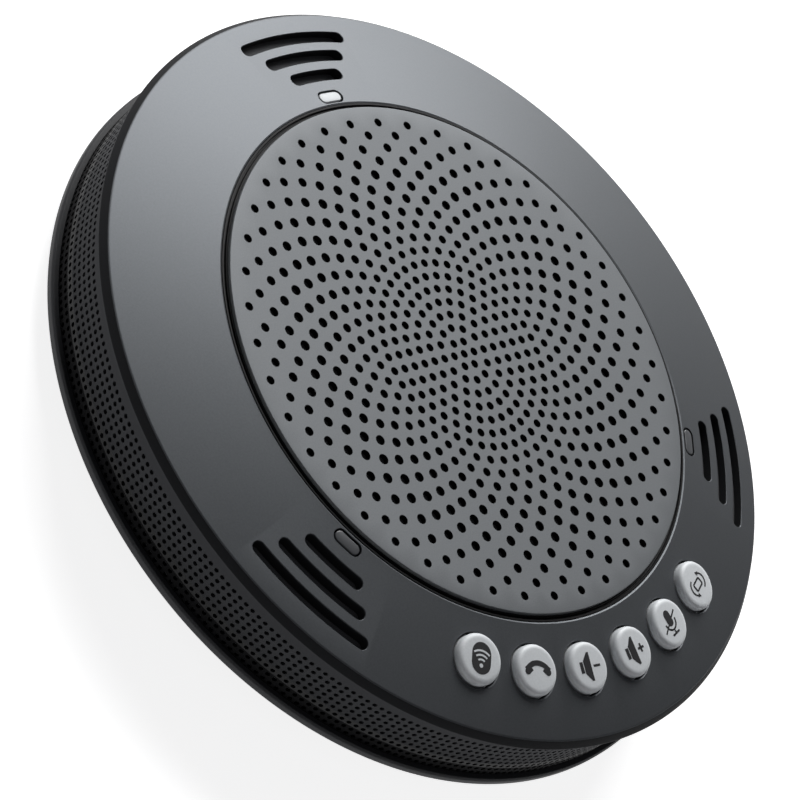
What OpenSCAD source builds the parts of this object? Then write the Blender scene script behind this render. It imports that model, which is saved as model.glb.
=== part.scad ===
// Conference speakerphone: a flat round puck with a perforated grille on top,
// three microphone slot groups, an arc of six keys and a perforated side band.
// Millimetres, +Z up, origin at the centre of the resting face, keys towards -Y.

/* [Overall] */
// Diameter over the sharp rim of the top cover
overall_d = 160; // [157:0.5:190]
// Height from the resting face to the grille
overall_h = 30; // [29:0.5:38]

/* [Top cover] */
// Fall of the sloping top, degrees from level
cover_slope = 10.1; // [8:0.1:10.5]
// Thickness of the sloping top
cover_wall = 2.2; // [1.8:0.1:2.4]
// Width of the steep bevel round the rim
bevel_w = 1.1; // [0.8:0.1:1.4]
// Height of the steep bevel round the rim
bevel_h = 1.55; // [1.2:0.05:1.8]
// Drop from the grille face to the edge of the cover opening
opening_drop = 0.76; // [0.5:0.02:1]
// Gap between the grille and the cover opening
groove_w = 1.35; // [1:0.05:1.6]

/* [Grille] */
// Diameter of the perforated disc
grille_d = 110.2; // [109:0.2:112]
// Thickness of the perforated disc
grille_t = 1.2; // [1:0.1:1.3]
// Distance from the outermost ring of holes to the edge of the disc
hole_margin = 3.62; // [2.5:0.02:5]
// Rings of holes round the centre hole
ring_count = 18; // [14:1:18]
// Smallest hole in the grille
hole_small = 1.65; // [1.4:0.05:1.8]
// Largest hole in the grille
hole_large = 2.12; // [1.9:0.02:2.2]

/* [Microphone slots] */
// Distance from the middle of the window to the innermost slot
slot_in = 5.3; // [5:0.1:5.6]
// Distance from one slot to the next
slot_pitch = 4.75; // [4.5:0.05:4.8]
// Width of each slot
slot_w = 2.6; // [2.2:0.1:2.8]
// Distance from the cover opening to the middle of the status window
window_in = 2.05; // [1.9:0.05:2.4]
// Length of the status window
window_l = 6.4; // [5:0.2:7]
// Width of the status window
window_w = 2.6; // [2.6:0.1:3.2]

/* [Keys] */
// Diameter of a key cap
key_d = 10; // [9:0.1:10.2]
// Distance from the cover opening to the arc that the keys stand on
key_in = 9.4; // [9:0.1:10]
// Angle from one key to the next
key_pitch = 11.8; // [11.6:0.1:12]
// Height of a key above the cover
key_proud = 1.5; // [1.2:0.1:1.8]
// Distance that a key travels when pressed
key_travel = 0.6; // [0.3:0.05:0.6]

/* [Side band] */
// Distance that the side band stands in from the rim
band_inset = 1.75; // [1.5:0.05:2.5]
// Thickness of the perforated side band
band_t = 0.65; // [0.5:0.05:0.7]

/* [Base] */
// Distance that the base lip stands in from the rim
lip_inset = 0.4; // [0:0.05:0.8]
// Height of the top of the lip
lip_z = 7.1; // [6.8:0.1:7.5]
// Thickness of the base floor
floor_t = 2; // [1.6:0.1:2.4]
// Height of the rubber foot below the base
foot_drop = 1.5; // [1:0.1:1.8]

/* [Loudspeaker] */
// Outer diameter of the loudspeaker frame
driver_d = 86; // [80:1:88]
// Distance that the cone moves each way
cone_travel = 0.6; // [0.3:0.05:0.6]

/* [Hidden] */
$fn = 96;
eps = 0.01;

// Fits
seat_gap = 0.1;
slide_gap = 0.3;
thread_gap = 0.1;
end_relief = 0.04;

// Heights of the main levels
grille_z = overall_h - grille_t;
opening_r = grille_d / 2 + groove_w;
window_r = opening_r + window_in;
slot_r = window_r + slot_in;
key_r = opening_r + key_in;
ring_pitch = (grille_d / 2 - hole_margin) / ring_count;
rim_r = overall_d / 2;
crease_r = rim_r - bevel_w;
floor_z = foot_drop + floor_t;
slope = tan(cover_slope);
function cover_z(r) = overall_h - opening_drop - slope * (r - opening_r);
rim_z = cover_z(crease_r) - bevel_h;
rim_edge = 0.35;
wall_z = rim_z - 1.1;

// Radii of the side wall, from the outside in
band_r = rim_r - band_inset;
cloth_r = band_r - band_t - seat_gap;
cloth_t = 0.4;
frame_r = cloth_r - cloth_t - seat_gap;
frame_t = 2;
frame_in = frame_r - frame_t;
hem_r = band_r + 0.25;
lip_r = rim_r - lip_inset;

// Angles at which things stand
mic_angles = [90, 210, 330];
post_angles = [0, 62, 118, 180, 228.5, 311.5];
key_angles = [for (i = [0:5]) 270 + (i - 2.5) * key_pitch];
port_angle = 90;

// Screws: one size for the case, one for the small parts
screw_d = 2.9;
screw_head_d = 5.4;
screw_head_h = 2.2;
small_screw_d = 2;
small_head_d = 3.6;
small_head_h = 1.2;
post_d = 7;
post_r = frame_in - post_d / 2 - 1.6;
post_z = lip_z + 2.3;
boss_d = 8.5;
boss_top = lip_z + 2.1;
counterbore_z = 5;

// Foot ring, sunk a little into the bottom
foot_in = post_r - 5.4;
foot_out = post_r + 3.1;
foot_sunk = 0.7;

// Grille holes: six more on each ring until the rings hold the full number
ring_full = 42;
ring_twist = 4;
first_twisted = 8;
hole_peak = 13.5;
hole_spread = 5.5;
function ring_holes(k) = min(6 * k, ring_full);
function ring_turn(k) = (k >= first_twisted && k % 2 == 0) ? ring_twist : 0;
function hole_d(k) = hole_small + (hole_large - hole_small) * max(0, 1 - abs(k - hole_peak) / hole_spread);

// Grille seat and cloth
grille_cloth_t = 0.45;
seat_w = 4.2;
seat_step = 1;
groove_drop = 0.8;

// Key stack, measured down the key's own axis from the top of the cover
flange_d = key_d + 2;
flange_t = 0.8;
flange_t0 = cover_wall + 0.15;
stem_d = 4;
stem_end = flange_t0 + flange_t + 0.9;
plunger_d = 2.4;
plunger_end = stem_end + 1.6;
switch_top = stem_end + key_travel + 0.4;
switch_w = 6;
switch_h = 2.6;
flex_t = 0.3;
carrier_t = 1.6;
flex_top = switch_top + switch_h;
carrier_top = flex_top + flex_t;
carrier_span = 5.5 * key_pitch / 2 + 6;
carrier_in = key_r - 8.4;
carrier_out = key_r + 5.4;
key_boss_angles = [270 - 2 * key_pitch, 270, 270 + 2 * key_pitch];
key_boss_r = key_r - 5.95;
key_boss_d = 4.4;

// Microphone boards
mic_board_z = overall_h - 10;
mic_board_t = 0.8;
mic_board_in = window_r - 2.7;
mic_board_out = slot_r + 2 * slot_pitch - 1.8;
mic_board_w = 24;
mic_boss_r = window_r + 1.8;
mic_boss_y = 9.5;
mic_boss_d = 4.6;
mic_r = slot_r + slot_pitch;
capsule_d = 4;
capsule_h = 1.4;
boot_d = 8;
slot_cloth_t = 0.35;
led_size = [3, 2.6, 1];

// Loudspeaker and its pod
driver_r = driver_d / 2;
pod_wall = 1.8;
pod_r = driver_r + 0.5;
pod_top = overall_h - 6.8;
pod_floor_t = 1.6;
flange_h = 1.2;
driver_screw_r = driver_r - 3;
basket_in = driver_r - 8;
magnet_z = 7.5;
magnet_h = 5;
plate_h = 2.5;
plate_r = 19;
magnet_r = 22;
yoke_h = 1.9;
pole_r = 9;
plate_bore = 11;
coil_r = 9.5;
coil_wall = 0.35;
winding_w = 0.6;
basket_z = magnet_z + magnet_h + plate_h;
coil_z = magnet_z + 2.4 + cone_travel;
coil_top = basket_z + 3.5;
cone_edge_r = basket_in - 5.5;
cone_t = 0.6;
cone_edge_z = pod_top + flange_h - cone_t;
cone_low_z = coil_top - 0.9;
land_t = 0.4;
lead_angle = 90;
lead_z = 16.5;
grommet_d = 5;

// Boards, battery and port
board_z = 8.4;
board_t = 1.6;
board_in = pod_r + 2;
board_out = 64;
board_half = 56;
tongue_w = 18;
tongue_out = frame_in - 0.6;
board_screw_places = [[board_in + 3, 42], [board_in + 3, 138], [board_out - 4, 78], [board_out - 4, 102]];
standoff_d = 5.4;
socket_size = [8.94, 7.35, 3.26];
socket_z = board_z + board_t;
socket_front = band_r - 0.6;
bezel_size = [22, 3.1, 6.6];
bezel_z = 8.3;
battery_size = [18, 50, 9.4];
battery_x = -(pod_r + 1.9 + battery_size[0] / 2);
pad_t = 0.8;
lead_d = 1.4;

// Wires: the ball joint at a bend is this much thicker than the wire
knuckle = 1.3;

// Places of the wire sockets on the main board: angle and radius
socket_h = 3;
battery_plug = [142, 54];
mic_plugs = [[142, 60.5], [38, 60.5]];

// An arc slot with round ends, lying flat
module arc_slot(r, half, w) {
    intersection() {
        difference() {
            circle(r = r + w / 2);
            circle(r = r - w / 2);
        }
        polygon([[0, 0], [2 * r * cos(half), -2 * r * sin(half)], [2 * r * cos(half), 2 * r * sin(half)]]);
    }
    for (side = [-1, 1])
        rotate(side * half)
        translate([r, 0])
        circle(d = w + end_relief, $fn = 32);
}

// The three slots of one microphone group, cut by the same rule everywhere
module slot_group() {
    for (i = [0:2])
        arc_slot(slot_r + i * slot_pitch, slot_half(i), slot_w);
}
function slot_half(i) = asin((5.75 + i * 3.6) / (slot_r + i * slot_pitch));

// The status window, a short arc slot
module window_shape(grow = 0) {
    arc_slot(window_r, asin((window_l - window_w) / 2 / window_r), window_w + 2 * grow);
}

// A body of revolution between two depths below the sloping top
module under_cover(r0, r1, depth0, depth1, span = 360, from = 0) {
    rotate(from)
    rotate_extrude(angle = span)
        polygon([
            [r0, cover_z(r0) - depth0], [r1, cover_z(r1) - depth0],
            [r1, cover_z(r1) - depth1], [r0, cover_z(r0) - depth1]
        ]);
}

// Stands children on the slope at one angle, their +Z along the slope's normal
module on_slope(angle, r) {
    rotate(angle)
    translate([r, 0, cover_z(r)])
    rotate([0, cover_slope, 0])
    children();
}

// A cylinder between two heights
module post(d, z0, z1) {
    translate([0, 0, z0])
    cylinder(d = d, h = z1 - z0, $fn = 48);
}

// A ring with square edges between two heights
module ring(r0, r1, z0, z1) {
    rotate_extrude()
        polygon([[r0, z0], [r1, z0], [r1, z1], [r0, z1]]);
}

// A screw with its head down, tip towards +Z, seated at a height
module screw_up(d, head_d, head_h, seat_z, tip_z) {
    difference() {
        union() {
            post(head_d, seat_z - head_h, seat_z);
            post(d, seat_z - eps, tip_z);
        }
        for (turn = [0, 90])
            rotate(turn)
            translate([-head_d * 0.3, -d / 8, seat_z - head_h - eps])
            cube([head_d * 0.6, d / 4, head_h * 0.5]);
    }
}

module top_cover() {
    color([0.33, 0.34, 0.36])
    difference() {
        union() {
            rotate_extrude()
                polygon([
                    [opening_r, cover_z(opening_r) - cover_wall],
                    [opening_r, cover_z(opening_r) - 0.25],
                    [opening_r + 0.25, cover_z(opening_r + 0.25)],
                    [crease_r - 0.5, cover_z(crease_r - 0.5)],
                    [crease_r + 0.15, cover_z(crease_r) - 0.25],
                    [rim_r, rim_z],
                    [rim_r, rim_z - rim_edge],
                    [hem_r, wall_z],
                    [frame_in + 0.2, wall_z],
                    [frame_in + 0.2, cover_z(frame_in + 0.2) - cover_wall]
                ]);
            for (angle = post_angles)
                rotate(angle)
                translate([post_r, 0, 0])
                post(post_d, post_z, cover_z(post_r + post_d / 2) - cover_wall / 2);
            for (angle = mic_angles, side = [-1, 1])
                rotate(angle)
                translate([mic_boss_r, side * mic_boss_y, 0])
                post(mic_boss_d, mic_board_z + mic_board_t, cover_z(mic_boss_r + mic_boss_d) - cover_wall / 2);
            for (angle = key_boss_angles)
                on_slope(angle, key_boss_r)
                post(key_boss_d, -carrier_top, -cover_wall / 2);
        }
        for (angle = mic_angles)
            rotate(angle)
            translate([0, 0, wall_z - 1])
            linear_extrude(overall_h) {
                slot_group();
                window_shape(0.2);
            }
        for (angle = key_angles)
            on_slope(angle, key_r)
            post(key_d + 2 * slide_gap, -cover_wall - 3, 3);
        for (angle = post_angles)
            rotate(angle)
            translate([post_r, 0, 0])
            post(screw_d + thread_gap, post_z - 1, post_z + 11);
        for (angle = mic_angles, side = [-1, 1])
            rotate(angle)
            translate([mic_boss_r, side * mic_boss_y, 0])
            post(small_screw_d + thread_gap, mic_board_z, mic_board_z + mic_board_t + 4);
        for (angle = key_boss_angles)
            on_slope(angle, key_boss_r)
            post(small_screw_d + thread_gap, -carrier_top - 1, -cover_wall - 1);
    }
}

module grille() {
    color([0.45, 0.46, 0.47])
    translate([0, 0, grille_z])
    linear_extrude(grille_t)
    difference() {
        circle(d = grille_d);
        circle(d = hole_small, $fn = 24);
        for (k = [1:ring_count], j = [0:ring_holes(k) - 1])
            rotate(ring_turn(k) + j * 360 / ring_holes(k))
            translate([k * ring_pitch, 0])
            circle(d = hole_d(k), $fn = 24);
    }
}

module grille_seat() {
    r_out = opening_r - seat_gap;
    r_edge = grille_d / 2;
    r_bead = (r_out + r_edge) / 2;
    r_in = r_out - seat_w;
    z_cloth = grille_z - grille_cloth_t;
    color([0.06, 0.06, 0.06])
    rotate_extrude()
        polygon([
            [r_in, z_cloth - 2], [r_out, z_cloth - 2], [r_out, grille_z - groove_drop],
            [r_bead + 0.25, grille_z - groove_drop], [r_bead + 0.15, grille_z - 0.1],
            [r_bead - 0.15, grille_z - 0.1], [r_bead - 0.25, grille_z - groove_drop],
            [r_edge, grille_z - groove_drop], [r_edge, grille_z],
            [r_edge - seat_step, grille_z], [r_edge - seat_step, z_cloth], [r_in, z_cloth]
        ]);
}

module grille_cloth() {
    color([0.1, 0.1, 0.1])
    post(grille_d - 2 * seat_step - 0.2, grille_z - grille_cloth_t, grille_z);
}

module port_window(extra) {
    translate([-bezel_size[0] / 2 - extra, frame_in - 3, bezel_z - extra])
    cube([bezel_size[0] + 2 * extra, 12, bezel_size[2] + 2 * extra]);
}

module side_mesh() {
    color([0.13, 0.13, 0.14])
    difference() {
        ring(band_r - band_t, band_r, lip_z, wall_z - seat_gap);
        port_window(seat_gap);
    }
}

module side_cloth() {
    color([0.05, 0.05, 0.05])
    difference() {
        ring(cloth_r - cloth_t, cloth_r, lip_z, wall_z - seat_gap);
        port_window(seat_gap);
    }
}

module mid_frame() {
    window_low = lip_z + 3.2;
    window_high = wall_z - 2.6;
    windows = 24;
    color([0.1, 0.1, 0.11])
    difference() {
        ring(frame_in, frame_r, lip_z, wall_z);
        port_window(seat_gap);
        for (i = [0:windows - 1])
            if (abs(i * 360 / windows - port_angle) > 20)
                rotate(i * 360 / windows)
                translate([frame_in - 2, -6.5, window_low])
                cube([frame_t + 4, 13, window_high - window_low]);
    }
}

module base_shell() {
    under_r = post_r + 4.5;
    rim_in = frame_in - 0.2;
    color([0.2, 0.2, 0.21])
    difference() {
        union() {
            rotate_extrude()
                polygon([
                    [0, foot_drop], [under_r, foot_drop], [lip_r - 0.5, lip_z - 2.3], [lip_r, lip_z - 1.8],
                    [lip_r, lip_z - 0.5], [lip_r - 0.4, lip_z], [rim_in, lip_z], [rim_in, lip_z + 2],
                    [rim_in - 1.6, lip_z + 2], [rim_in - 1.6, floor_z], [0, floor_z]
                ]);
            for (angle = post_angles)
                rotate(angle)
                translate([post_r, 0, 0])
                post(boss_d, foot_drop + eps, boss_top);
            for (place = board_screw_places)
                rotate(place[1])
                translate([place[0], 0, 0])
                post(standoff_d, foot_drop + eps, board_z);
        }
        ring(foot_in - 0.2, foot_out + 0.2, foot_drop - 1, foot_drop + foot_sunk);
        translate([-tongue_w / 2 - 0.4, board_out, board_z - 0.2])
        cube([tongue_w + 0.8, rim_r, lip_z]);
        for (angle = post_angles)
            rotate(angle)
            translate([post_r, 0, 0]) {
                post(screw_head_d + 0.4, foot_drop - 1, counterbore_z);
                post(screw_d + 0.3, foot_drop, boss_top + 1);
            }
        for (place = board_screw_places)
            rotate(place[1])
            translate([place[0], 0, 0])
            post(small_screw_d + thread_gap, board_z - 4, board_z + 1);
    }
}
module foot_ring() {
    color([0.08, 0.08, 0.08])
    rotate_extrude()
        polygon([
            [foot_in, foot_drop + foot_sunk], [foot_in, 0.6], [foot_in + 0.6, 0],
            [foot_out - 0.6, 0], [foot_out, 0.6], [foot_out, foot_drop + foot_sunk]
        ]);
}

module case_screws() {
    color("silver")
    for (angle = post_angles)
        rotate(angle)
        translate([post_r, 0, 0])
        screw_up(screw_d, screw_head_d, screw_head_h, counterbore_z, post_z + 9);
}

module port_bezel() {
    y_in = frame_in + 0.1;
    color([0.08, 0.08, 0.09])
    difference() {
        intersection() {
            ring(y_in, band_r, bezel_z, bezel_z + bezel_size[2]);
            translate([-bezel_size[0] / 2, y_in - 3, 0])
            cube([bezel_size[0], band_r - y_in + 6, overall_h]);
        }
        translate([0, 0, socket_z + socket_size[2] / 2])
        rotate([-90, 0, 0])
        linear_extrude(overall_d)
        socket_shape(0.15);
    }
}

// The flat oval outline of the socket, lying in X and Y
module socket_shape(grow) {
    w = socket_size[0] + 2 * grow;
    h = socket_size[2] + 2 * grow;
    square([w - h, h], center = true);
    for (side = [-1, 1])
        translate([side * (w - h) / 2, 0])
        circle(d = h, $fn = 32);
}

module usb_c_socket() {
    color("silver") {
        translate([0, socket_front, socket_z + socket_size[2] / 2])
        rotate([90, 0, 0])
        difference() {
            linear_extrude(socket_size[1])
            socket_shape(0);
            translate([0, 0, -1])
            linear_extrude(socket_size[1] - 0.2)
            socket_shape(-0.3);
        }
        translate([-3.3, socket_front - socket_size[1] + 1.2, socket_z + socket_size[2] / 2 - 0.35])
        cube([6.6, 4.6, 0.7]);
        translate([-3.3, socket_front - socket_size[1] + 0.5, socket_z + 0.3])
        cube([6.6, 1, socket_size[2] - 0.6]);
    }
}

module sector(r0, r1, half, z0, z1) {
    rotate(90 - half)
    rotate_extrude(angle = 2 * half)
        polygon([[r0, z0], [r1, z0], [r1, z1], [r0, z1]]);
}

module main_board() {
    color([0.05, 0.3, 0.16])
    difference() {
        union() {
            sector(board_in, board_out, board_half, board_z, board_z + board_t);
            translate([-tongue_w / 2, board_out - 4, board_z])
            cube([tongue_w, tongue_out - board_out + 4 - 0.8, board_t]);
        }
        for (place = board_screw_places)
            rotate(place[1])
            translate([place[0], 0, 0])
            post(small_screw_d + 0.3, board_z - 1, board_z + board_t + 1);
    }
}

module chip(angle, r, size) {
    rotate(angle)
    translate([r - size[0] / 2, -size[1] / 2, board_z + board_t])
    cube(size);
}

module board_chips() {
    color([0.12, 0.12, 0.13]) {
        chip(52, 55, [9, 9, 1]);
        chip(68, 57, [12, 11, 1.6]);
        chip(81, 52, [5, 4, 2.2]);
        chip(99, 52, [6, 5, 3]);
        chip(112, 56, [12, 12, 1.2]);
        chip(126, 54, [6, 7, 0.9]);
        chip(lead_angle, board_in + 4, [3.4, 5, socket_h]);
        chip(battery_plug[0], battery_plug[1], [4, 5, socket_h]);
        for (plug = mic_plugs)
            chip(plug[0], plug[1], [3, 6, socket_h]);
    }
}

module board_screws() {
    color("silver")
    for (place = board_screw_places)
        rotate(place[1])
        translate([place[0], 0, 2 * (board_z + board_t)])
        mirror([0, 0, 1])
        screw_up(small_screw_d, small_head_d, small_head_h, board_z + board_t, 2 * board_t + board_z + 3);
}

module battery_pad() {
    color([0.2, 0.2, 0.22])
    translate([battery_x - battery_size[0] / 2 + 1, -battery_size[1] / 2 + 2, floor_z])
    cube([battery_size[0] - 2, battery_size[1] - 4, pad_t]);
}

module battery_pack() {
    color([0.25, 0.45, 0.65])
    translate([battery_x, 0, floor_z + pad_t])
    linear_extrude(battery_size[2]) {
        square([battery_size[0] - 3, battery_size[1]], center = true);
        square([battery_size[0], battery_size[1] - 3], center = true);
        for (sx = [-1, 1], sy = [-1, 1])
            translate([sx * (battery_size[0] / 2 - 1.5), sy * (battery_size[1] / 2 - 1.5)])
            circle(r = 1.5, $fn = 32);
    }
}

// A round wire from one point to the next, with ball joints at the bends
module wire(points, d) {
    for (i = [0:len(points) - 2]) {
        run = points[i + 1] - points[i];
        translate(points[i])
        rotate([0, acos(run[2] / norm(run)), atan2(run[1], run[0])])
        cylinder(d = d, h = norm(run), $fn = 24);
    }
    for (i = [1:len(points) - 2])
        translate(points[i])
        sphere(d = knuckle * d, $fn = 24);
}
module battery_lead() {
    plug = [battery_plug[1] * cos(battery_plug[0]), battery_plug[1] * sin(battery_plug[0])];
    start_z = floor_z + pad_t + 7;
    plug_z = board_z + board_t + socket_h;
    color("firebrick")
    wire([
        [battery_x, battery_size[1] / 2, start_z], [battery_x, plug[1], start_z],
        [battery_x, plug[1], plug_z + 3], [plug[0], plug[1], plug_z + 3], [plug[0], plug[1], plug_z]
    ], lead_d);
}

module speaker_pod() {
    color([0.12, 0.12, 0.13])
    difference() {
        union() {
            difference() {
                post(2 * pod_r, floor_z, pod_top);
                post(2 * (pod_r - pod_wall), floor_z + pod_floor_t, pod_top + 1);
            }
            for (i = [0:3])
                rotate(45 + 90 * i)
                translate([driver_screw_r, 0, 0])
                post(6, floor_z + eps, pod_top - 0.1);
        }
        for (i = [0:3])
            rotate(45 + 90 * i)
            translate([driver_screw_r, 0, 0])
            post(small_screw_d + thread_gap, pod_top - 6, pod_top + 1);
        rotate(lead_angle)
        translate([pod_r - 5, 0, lead_z])
        rotate([0, 90, 0])
        cylinder(d = grommet_d, h = 8, $fn = 48);
    }
}
module speaker_basket() {
    rim_z0 = pod_top;
    rim_z1 = pod_top + flange_h;
    cup_r = plate_r - 1;
    color([0.3, 0.3, 0.31])
    difference() {
        rotate_extrude()
            polygon([
                [plate_bore + 1.6, basket_z], [cup_r, basket_z], [cup_r + 1.2, basket_z + 0.6],
                [basket_in + 1.2, rim_z0 - 0.4], [basket_in + 2, rim_z0], [driver_r, rim_z0], [driver_r, rim_z1],
                [basket_in, rim_z1], [basket_in, rim_z0 - 0.2], [cup_r, basket_z + 1.2],
                [plate_bore + 1.6, basket_z + 1.2]
            ]);
        for (i = [0:5])
            rotate(60 * i)
            translate([cup_r + 3, -5, basket_z - 1])
            cube([basket_in - cup_r - 6, 10, rim_z0 - basket_z - 1]);
        for (i = [0:3])
            rotate(45 + 90 * i)
            translate([driver_screw_r, 0, 0])
            post(small_screw_d + 0.3, rim_z0 - 1, rim_z1 + 1);
    }
}

module speaker_magnet() {
    color([0.16, 0.16, 0.17])
    ring(plate_bore + 1, magnet_r, magnet_z, magnet_z + magnet_h);
}

module speaker_top_plate() {
    color("silver")
    ring(plate_bore, plate_r, magnet_z + magnet_h, magnet_z + magnet_h + plate_h);
}

module speaker_yoke() {
    color("silver") {
        post(2 * plate_r, magnet_z - yoke_h, magnet_z);
        post(2 * pole_r, magnet_z - eps, magnet_z + magnet_h + plate_h + 0.2);
    }
}

module speaker_cone() {
    color([0.15, 0.15, 0.16])
    rotate_extrude()
        polygon([
            [coil_r + coil_wall, cone_low_z], [cone_edge_r, cone_edge_z], [cone_edge_r + 1.6, cone_edge_z],
            [cone_edge_r + 1.6, cone_edge_z + cone_t], [cone_edge_r - 0.3, cone_edge_z + cone_t],
            [coil_r + coil_wall, cone_low_z + cone_t]
        ]);
}

module dust_cap() {
    r = coil_r + coil_wall + 3;
    base_z = cone_low_z + cone_t + 0.08 + (cone_edge_z - cone_low_z) * 3 / (cone_edge_r - coil_r);
    ball = 18;
    drop = sqrt(ball * ball - r * r);
    color([0.12, 0.12, 0.12])
    intersection() {
        translate([0, 0, base_z - drop])
        difference() {
            sphere(r = ball);
            sphere(r = ball - 0.5);
        }
        post(2 * r + 10, base_z, base_z + 10);
    }
}

module voice_coil() {
    color("peru") {
        ring(coil_r, coil_r + coil_wall, coil_z, coil_top);
        ring(coil_r + coil_wall, coil_r + coil_wall + winding_w, coil_z + 0.6, coil_z + 6.2);
    }
}

module speaker_surround() {
    roll_in = cone_edge_r + 1.6;
    roll_out = basket_in + 0.6;
    mid = (roll_in + roll_out) / 2;
    roll = (roll_out - roll_in) / 2;
    z = cone_edge_z + cone_t;
    color([0.07, 0.07, 0.07])
    rotate_extrude()
    union() {
        intersection() {
            translate([mid, z])
            difference() {
                circle(r = roll);
                circle(r = roll - 0.5);
            }
            translate([roll_in - 1, z])
            square([2 * roll + 2, roll + 1]);
        }
        translate([roll_in - 1.4, z])
        square([1.9, land_t]);
        translate([roll_out - 0.5, z])
        square([2.9, land_t]);
    }
}

module speaker_spider() {
    color([0.75, 0.6, 0.25])
    rotate_extrude()
        polygon([
            [coil_r + coil_wall + 0.05, basket_z + 1.9], [plate_bore + 3.4, basket_z + 1.2],
            [plate_r - 2, basket_z + 1.2], [plate_r - 2, basket_z + 1.6],
            [plate_bore + 3.4, basket_z + 1.6], [coil_r + coil_wall + 0.05, basket_z + 2.3]
        ]);
}

module speaker_gasket() {
    color([0.09, 0.09, 0.09])
    ring(driver_r - 6.4, driver_r - 5.2, pod_top + flange_h + land_t, grille_z - grille_cloth_t);
}

module speaker_screws() {
    color("silver")
    for (i = [0:3])
        rotate(45 + 90 * i)
        translate([driver_screw_r, 0, 2 * (pod_top + flange_h)])
        mirror([0, 0, 1])
        screw_up(small_screw_d, small_head_d, small_head_h, pod_top + flange_h, pod_top + flange_h + 5.5);
}

module speaker_leads() {
    color("firebrick")
    for (side = [-1, 1])
        rotate(lead_angle)
        translate([0, side * 0.75, 0])
        wire([[magnet_r + 5, 0, lead_z + 0.9], [magnet_r + 8, 0, lead_z], [board_in + 4, 0, lead_z],
              [board_in + 4, 0, board_z + board_t + socket_h]], 0.9);
}

module lead_grommet() {
    color([0.05, 0.05, 0.05])
    rotate(lead_angle)
    translate([pod_r - pod_wall - 1, 0, lead_z])
    rotate([0, 90, 0])
    difference() {
        union() {
            cylinder(d = grommet_d, h = pod_wall + 2.2, $fn = 48);
            translate([0, 0, pod_wall + 1.2])
            cylinder(d = grommet_d + 1.6, h = 1, $fn = 48);
        }
        translate([0, 0, -1])
        cylinder(d = 3, h = 8, $fn = 48);
    }
}

// One key: a round cap with a rounded edge, a stop flange and a stem
module key_cap(index) {
    edge = 0.7;
    color([0.74, 0.76, 0.78])
    on_slope(key_angles[index], key_r)
    rotate_extrude()
        polygon([
            [0, -stem_end], [stem_d / 2, -stem_end], [stem_d / 2, -flange_t0 - flange_t],
            [flange_d / 2, -flange_t0 - flange_t], [flange_d / 2, -flange_t0], [key_d / 2, -flange_t0],
            [key_d / 2, key_proud - edge],
            for (a = [15:15:75]) [key_d / 2 - edge * (1 - cos(a)), key_proud - edge * (1 - sin(a))],
            [key_d / 2 - edge, key_proud], [0, key_proud]
        ]);
}

module key_plunger(index) {
    color("ivory")
    on_slope(key_angles[index], key_r)
    post(plunger_d, -plunger_end, -stem_end);
}

module button_wireless() {
    key_cap(0);
}

module button_call() {
    key_cap(1);
}

module button_volume_down() {
    key_cap(2);
}

module button_volume_up() {
    key_cap(3);
}

module button_mute() {
    key_cap(4);
}

module button_rotate() {
    key_cap(5);
}

module plunger_wireless() {
    key_plunger(0);
}

module plunger_call() {
    key_plunger(1);
}

module plunger_volume_down() {
    key_plunger(2);
}

module plunger_volume_up() {
    key_plunger(3);
}

module plunger_mute() {
    key_plunger(4);
}

module plunger_rotate() {
    key_plunger(5);
}

module tact_switches() {
    color([0.15, 0.15, 0.16])
    for (angle = key_angles)
        on_slope(angle, key_r)
        difference() {
            translate([-switch_w / 2, -switch_w / 2, -flex_top + 0.03])
            cube([switch_w, switch_w, switch_h - 0.03]);
            post(plunger_d + 0.4, -plunger_end - key_travel - 0.2, 0);
        }
}

module key_flex() {
    color([0.55, 0.3, 0.08])
    difference() {
        under_cover(carrier_in, carrier_out, flex_top / cos(cover_slope), carrier_top / cos(cover_slope),
            2 * carrier_span, 270 - carrier_span);
        for (angle = key_boss_angles)
            on_slope(angle, key_boss_r)
            post(key_boss_d + 0.4, -carrier_top - 2, 0);
    }
}

module key_carrier() {
    color([0.1, 0.1, 0.1])
    difference() {
        under_cover(carrier_in, carrier_out, carrier_top / cos(cover_slope) + 0.02,
            (carrier_top + carrier_t) / cos(cover_slope), 2 * carrier_span, 270 - carrier_span);
        for (angle = key_boss_angles)
            on_slope(angle, key_boss_r)
            post(small_screw_d + 0.3, -carrier_top - carrier_t - 2, 0);
    }
}

module key_screws() {
    color("silver")
    for (angle = key_boss_angles)
        on_slope(angle, key_boss_r)
        screw_up(small_screw_d, small_head_d, small_head_h, -carrier_top - carrier_t - 0.06, -carrier_top + 4);
}

// Flat ribbon from the keys, round inside the case, down to the main board
module key_ribbon() {
    z = cover_z(key_r) - flex_top - 5.2;
    t = 0.3;
    r0 = board_in + 1.5;
    r1 = r0 + 6;
    rise = cover_z(carrier_in) - (carrier_top + carrier_t) / cos(cover_slope) - 0.6 - z;
    start = 270 + carrier_span - 5;
    stop = 90 - board_half + 3;
    color("sandybrown") {
        rotate(start)
        rotate_extrude(angle = 360 + stop - start)
            polygon([[r0, z], [r1, z], [r1, z + t], [r0, z + t]]);
        rotate(stop)
        translate([r0 + 0.2, -t, board_z + board_t])
        cube([r1 - r0 - 0.4, t, z + t / 2 - board_z - board_t]);
        rotate(start)
        translate([r0 + 0.2, 0, z + t / 2])
        cube([r1 - r0 - 0.4, t, rise - t]);
        rotate(start)
        translate([r0, 0, z + rise - t])
        cube([carrier_in - r0 + 2, 5, t]);
    }
}

// A light pipe whose top follows the slope of the cover
module light_pipe(angle) {
    color([0.9, 0.92, 0.95])
    rotate(angle)
    intersection() {
        translate([0, 0, mic_board_z + mic_board_t + led_size[2] + 0.4])
        linear_extrude(overall_h)
        window_shape();
        under_cover(window_r - 5, window_r + 5, 0.05, 8);
    }
}

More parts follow.
